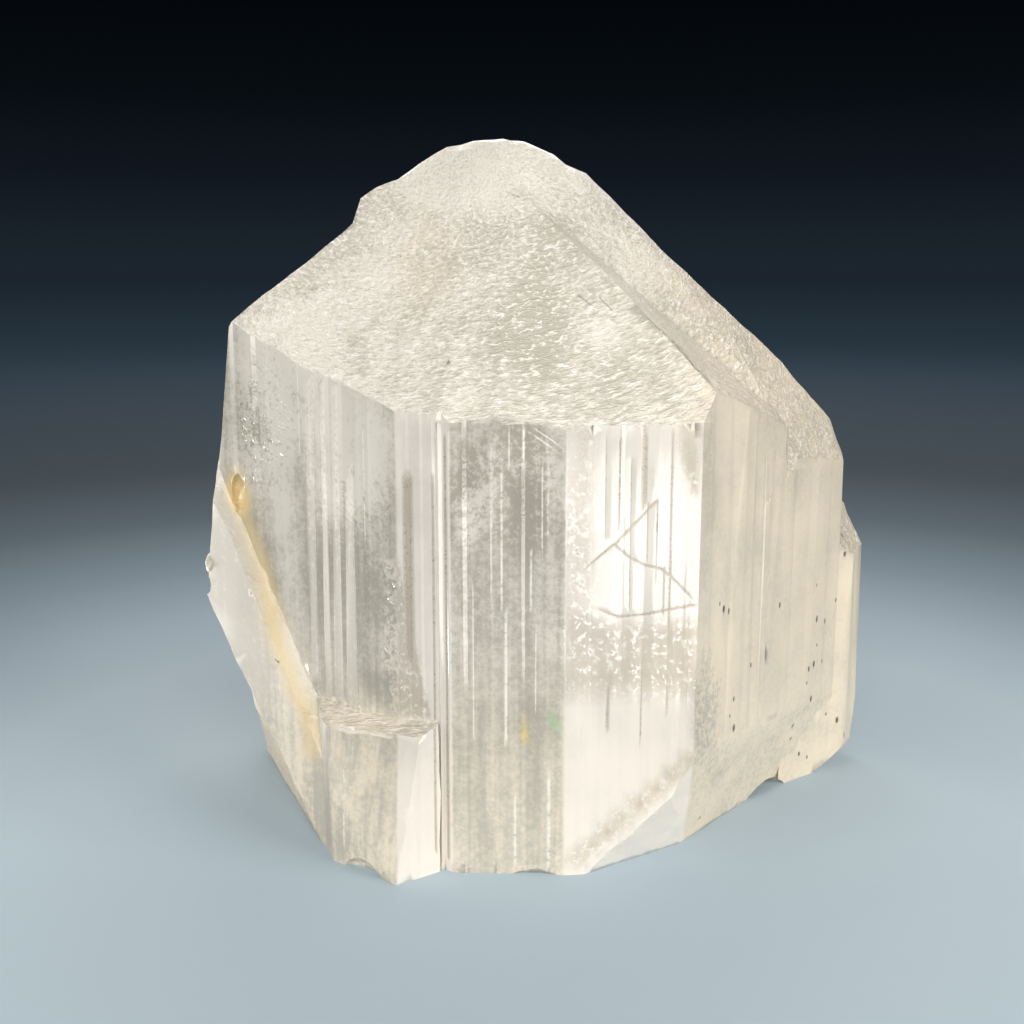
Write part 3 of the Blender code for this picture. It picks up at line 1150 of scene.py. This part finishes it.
class CRYSTAL_OT_stage(bpy.types.Operator):
    """Makes the studio floor, the lights, the dark of the room and the camera."""

    bl_idname = "crystal.stage"
    bl_label = "Stage"

    def execute(self, context):
        settings = context.scene.crystal_stage
        scene = context.scene

        bm = bmesh.new()
        bmesh.ops.create_grid(bm, x_segments=1, y_segments=1, size=FLOOR_SIZE)
        mesh = bpy.data.meshes.new("floor")
        bm.to_mesh(mesh)
        bm.free()
        mesh.materials.append(floor_material(settings.floor))
        floor = bpy.data.objects.new("floor", mesh)
        scene.collection.objects.link(floor)

        top, front, side = settings.top_light, settings.front_light, settings.side_light
        back, card = settings.back_light, settings.card_light
        soft_light("top", (-0.08, -0.05, 0.45), (0.45, 0.45), top, WARM_LIGHT)
        soft_light("front", (0.0, -0.50, 0.24), (0.50, 0.30), front, WARM_LIGHT)
        soft_light("left", (-0.38, -0.25, 0.16), (0.30, 0.30), 1.2 * side, WARM_LIGHT)
        soft_light("right", (0.40, -0.20, 0.18), (0.30, 0.30), 2.0 * side, WARM_LIGHT)
        soft_light("back", (0.05, 0.50, 0.40), (0.50, 0.35), back, WARM_LIGHT)
        # The fill lights the crystal's back and not the floor, and isn't seen through the crystal.
        fill = soft_light("back fill", (-0.15, 0.45, 0.22), (0.60, 0.40), 2.0 * back, WARM_LIGHT)
        fill.visible_transmission = False
        fill.light_linking.receiver_collection = bpy.data.collections.get(CRYSTAL_GROUP)
        low_card("right card", (0.110, -0.115, 0.002), 0.0, (0.18, 0.16), 0.85 * card, PINK_LIGHT)
        roll = math.radians(-24.5)
        low_card("left card", (-0.125, 0.064, 0.002), roll, (0.18, 0.050), 0.8 * card, PINK_LIGHT)

        scene.world = room_dark()
        scene.view_settings.view_transform = "Standard"

        data = bpy.data.cameras.new("camera")
        data.lens = LENS
        data.sensor_width = SENSOR
        data.clip_start = CLIP_START
        data.clip_end = CLIP_END
        camera = bpy.data.objects.new("camera", data)
        camera.location = MARK + CAMERA_PLACE
        camera.rotation_euler = (math.pi / 2.0 - CAMERA_PITCH, 0.0, 0.0)
        scene.collection.objects.link(camera)
        scene.camera = camera
        return {"FINISHED"}


class CRYSTAL_PT_panel(bpy.types.Panel):
    """Lists the sizes, the colours and the steps."""

    bl_idname = "CRYSTAL_PT_panel"
    bl_label = "Topaz crystal"
    bl_space_type = "VIEW_3D"
    bl_region_type = "UI"
    bl_category = "Crystal"

    def draw(self, context):
        layout = self.layout
        for group in (context.scene.crystal, context.scene.crystal_stage):
            for name in group.bl_rna.properties.keys():
                if name not in {"rna_type", "name"}:
                    layout.prop(group, name)
        layout.operator(CRYSTAL_OT_topaz.bl_idname)
        layout.operator(CRYSTAL_OT_stage.bl_idname)


CLASSES = (CrystalSettings, StageSettings, CRYSTAL_OT_topaz, CRYSTAL_OT_stage, CRYSTAL_PT_panel)


def register():
    for kind in CLASSES:
        bpy.utils.register_class(kind)
    bpy.types.Scene.crystal = PointerProperty(type=CrystalSettings)
    bpy.types.Scene.crystal_stage = PointerProperty(type=StageSettings)


def unregister():
    del bpy.types.Scene.crystal_stage
    del bpy.types.Scene.crystal
    for kind in reversed(CLASSES):
        bpy.utils.unregister_class(kind)


def main():
    register()
    bpy.ops.crystal.topaz()
    bpy.ops.crystal.stage()


if __name__ == "__main__":
    main()
